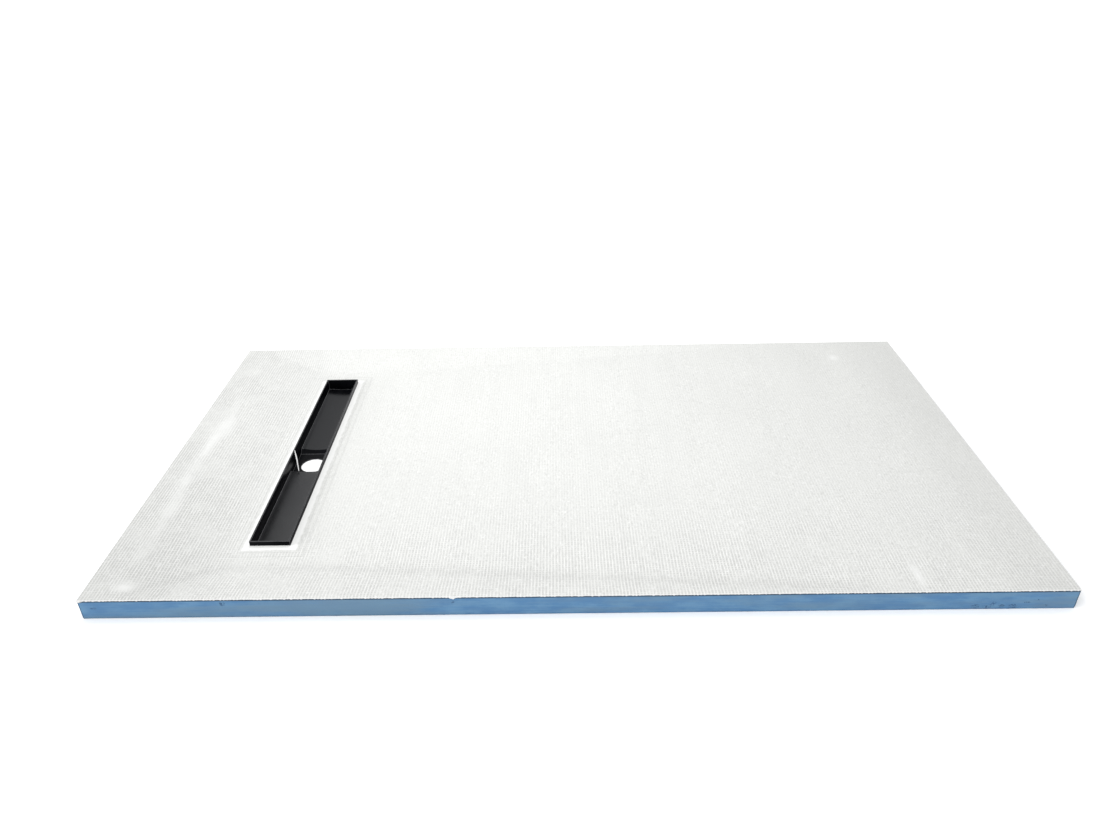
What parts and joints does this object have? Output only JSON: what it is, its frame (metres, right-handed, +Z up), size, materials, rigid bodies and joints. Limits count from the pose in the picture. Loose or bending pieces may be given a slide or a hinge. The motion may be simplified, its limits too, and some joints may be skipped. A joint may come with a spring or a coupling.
{
  "type": "foam shower tray",
  "caption": "Level-access shower base to tile over: blue foam board milled with falls, a cement and mesh coated top, and a black linear drain channel near one end.",
  "frame": {"origin": "centre of the underside, on the floor that the tray lies on", "axes": "+X along the length, away from the drain; +Y across the width; +Z up"},
  "size_m": [1.6, 0.9, 0.04],
  "materials": {
    "foam": "milled and sawn extruded foam, matt, fine closed cells",
    "coating": "thin grey-white cement mortar over a fine square mesh, matt",
    "drain": "black moulded plastic, satin"
  },
  "bodies": {
    "root": {"foam_core": "foam", "top_coating": "coating", "drain_channel": "drain"}
  },
  "joints": []
}
